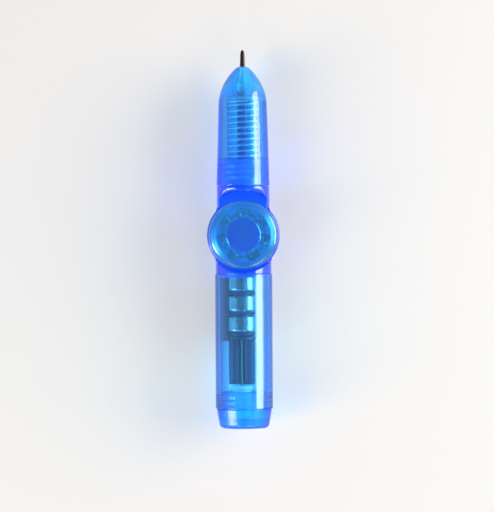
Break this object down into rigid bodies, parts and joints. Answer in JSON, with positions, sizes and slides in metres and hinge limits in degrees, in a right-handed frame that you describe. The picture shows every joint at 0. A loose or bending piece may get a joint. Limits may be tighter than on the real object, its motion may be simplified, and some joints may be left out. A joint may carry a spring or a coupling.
{
  "type": "fidget spinner pen",
  "caption": "Clear blue ballpoint pen with a bearing-mounted finger disc across its middle, a spring-loaded refill in a screw-on nose and a light with button cells in the barrel.",
  "frame": {"origin": "on the spin axis, at the back pad's outer face, where the lying pen rests", "axes": "+Y along the pen towards its point, +Z along the spin axis towards the front pad, +X to the right"},
  "size_m": [0.0192, 0.1002, 0.0164],
  "materials": {
    "clear_blue": "clear blue, polished mould",
    "royal_blue": "deep blue, polished mould",
    "clear_azure": "clear azure, polished mould",
    "bearing_steel": "ground and polished",
    "cage_steel": "pressed",
    "point_metal": "turned, dark",
    "carbide": "ground",
    "tube_plastic": "clear, drawn",
    "ink": "wet",
    "plug_plastic": "moulded",
    "collar_plastic": "moulded",
    "spring_steel": "drawn wire",
    "cell_nickel": "nickel plate",
    "gasket_nylon": "moulded",
    "cradle_plastic": "moulded",
    "strip_nickel": "punched and bent",
    "board_laminate": "solder mask",
    "switch_plastic": "moulded",
    "lens_epoxy": "cast, milky",
    "leg_tin": "tinned wire"
  },
  "bodies": {
    "hub": {"hub_body": "royal_blue", "battery_barrel": "clear_blue", "bearing_outer_race": "bearing_steel", "refill_spring": "spring_steel"},
    "spinner": {"bearing_inner_race": "bearing_steel", "front_spindle": "royal_blue", "back_spindle": "royal_blue", "front_pad": "clear_azure", "back_pad": "clear_azure"},
    "ball_set": {"bearing_ball_1": "bearing_steel", "bearing_ball_2": "bearing_steel", "bearing_ball_3": "bearing_steel", "bearing_ball_4": "bearing_steel", "bearing_ball_5": "bearing_steel", "bearing_ball_6": "bearing_steel", "bearing_ball_7": "bearing_steel", "bearing_cage": "cage_steel"},
    "refill": {"refill_tip": "point_metal", "writing_ball": "carbide", "refill_tube": "tube_plastic", "refill_ink": "ink", "refill_plug": "plug_plastic", "spring_collar": "collar_plastic"},
    "nose": {"nose_cone": "clear_blue"},
    "battery_pack": {"button_cell_1": "cell_nickel", "button_cell_2": "cell_nickel", "button_cell_3": "cell_nickel", "cell_gasket_1": "gasket_nylon", "cell_gasket_2": "gasket_nylon", "cell_gasket_3": "gasket_nylon", "cell_cradle": "cradle_plastic", "contact_strip": "strip_nickel", "circuit_board": "board_laminate", "motion_switch_1": "switch_plastic", "motion_switch_2": "switch_plastic", "led_lens": "lens_epoxy", "led_legs": "leg_tin"},
    "cap": {"end_cap": "clear_blue"}
  },
  "joints": [
    {"name": "spinner_spin", "type": "hinge", "parent": "hub", "child": "spinner", "pos_m": [0, 0, 0.0082], "axis": [0, 0, 1], "continuous": true},
    {"name": "ball_orbit", "type": "hinge", "parent": "hub", "child": "ball_set", "pos_m": [0, 0, 0.0082], "axis": [0, 0, 1], "continuous": true},
    {"name": "refill_slide", "type": "slide", "parent": "hub", "child": "refill", "axis": [0, 1, 0], "range_m": [0, 0.0045], "deforming": ["refill_spring"]},
    {"name": "nose_turn", "type": "hinge", "parent": "refill", "child": "nose", "pos_m": [0, 0.0131, 0.0082], "axis": [0, 1, 0], "range_deg": [0, 1080]},
    {"name": "pack_slide", "type": "slide", "parent": "hub", "child": "battery_pack", "axis": [0, -1, 0], "range_m": [0, 0.00375]},
    {"name": "cap_turn", "type": "hinge", "parent": "battery_pack", "child": "cap", "pos_m": [0, -0.0459, 0.0082], "axis": [0, -1, 0], "range_deg": [0, 900]}
  ],
  "couplings": [
    {"joint": "ball_orbit", "follows": "spinner_spin", "ratio": 0.34783},
    {"joint": "nose_turn", "follows": "refill_slide", "rad_per_m": 4188.8},
    {"joint": "cap_turn", "follows": "pack_slide", "rad_per_m": 4188.8}
  ]
}
